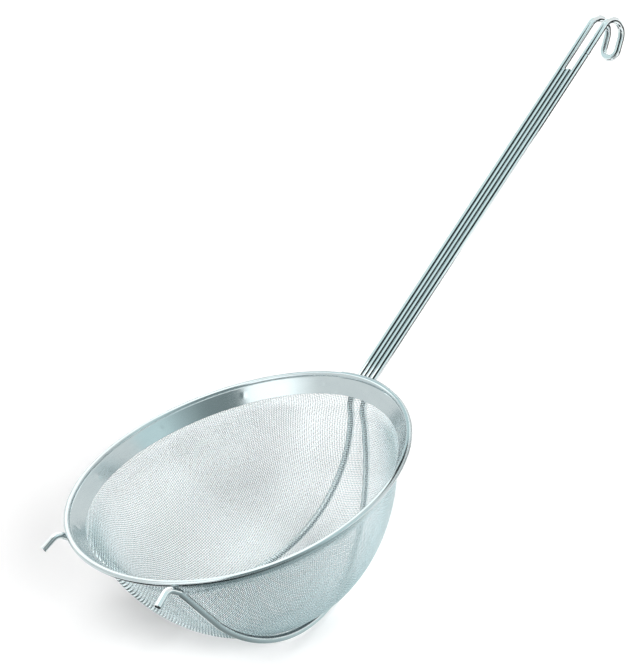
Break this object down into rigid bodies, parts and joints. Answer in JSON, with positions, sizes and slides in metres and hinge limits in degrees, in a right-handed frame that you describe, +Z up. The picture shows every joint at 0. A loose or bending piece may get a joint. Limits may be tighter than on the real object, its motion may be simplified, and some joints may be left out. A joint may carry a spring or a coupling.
{
  "type": "mesh skimmer",
  "caption": "Deep round wire-cloth skimmer in a rolled steel rim, carried by bent wires that form the cradle, front pot hooks, handle and hanging hook.",
  "frame": {"origin": "On the floor under the lowest point of the bowl's level, below the middle of the bounding box.", "axes": "+Z up out of the bowl's opening, +X from the front hooks towards the handle, +Y to the left. The rim is level and the part is mirrored about the plane Y = 0."},
  "size_m": [0.6042, 0.26, 0.2623],
  "materials": {
    "wire_cloth": "woven stainless wire cloth",
    "rim_sheet": "satin stainless sheet",
    "bright_wire": "polished stainless wire"
  },
  "bodies": {
    "root": {"mesh_bowl": "wire_cloth", "rim_band": "rim_sheet", "hanging_hook": "bright_wire", "handle_leg_left": "bright_wire", "handle_leg_right": "bright_wire", "filler_wire_left": "bright_wire", "filler_wire_right": "bright_wire", "cradle_wire_left": "bright_wire", "cradle_wire_right": "bright_wire", "front_hook_left": "bright_wire", "front_hook_right": "bright_wire"}
  },
  "joints": []
}
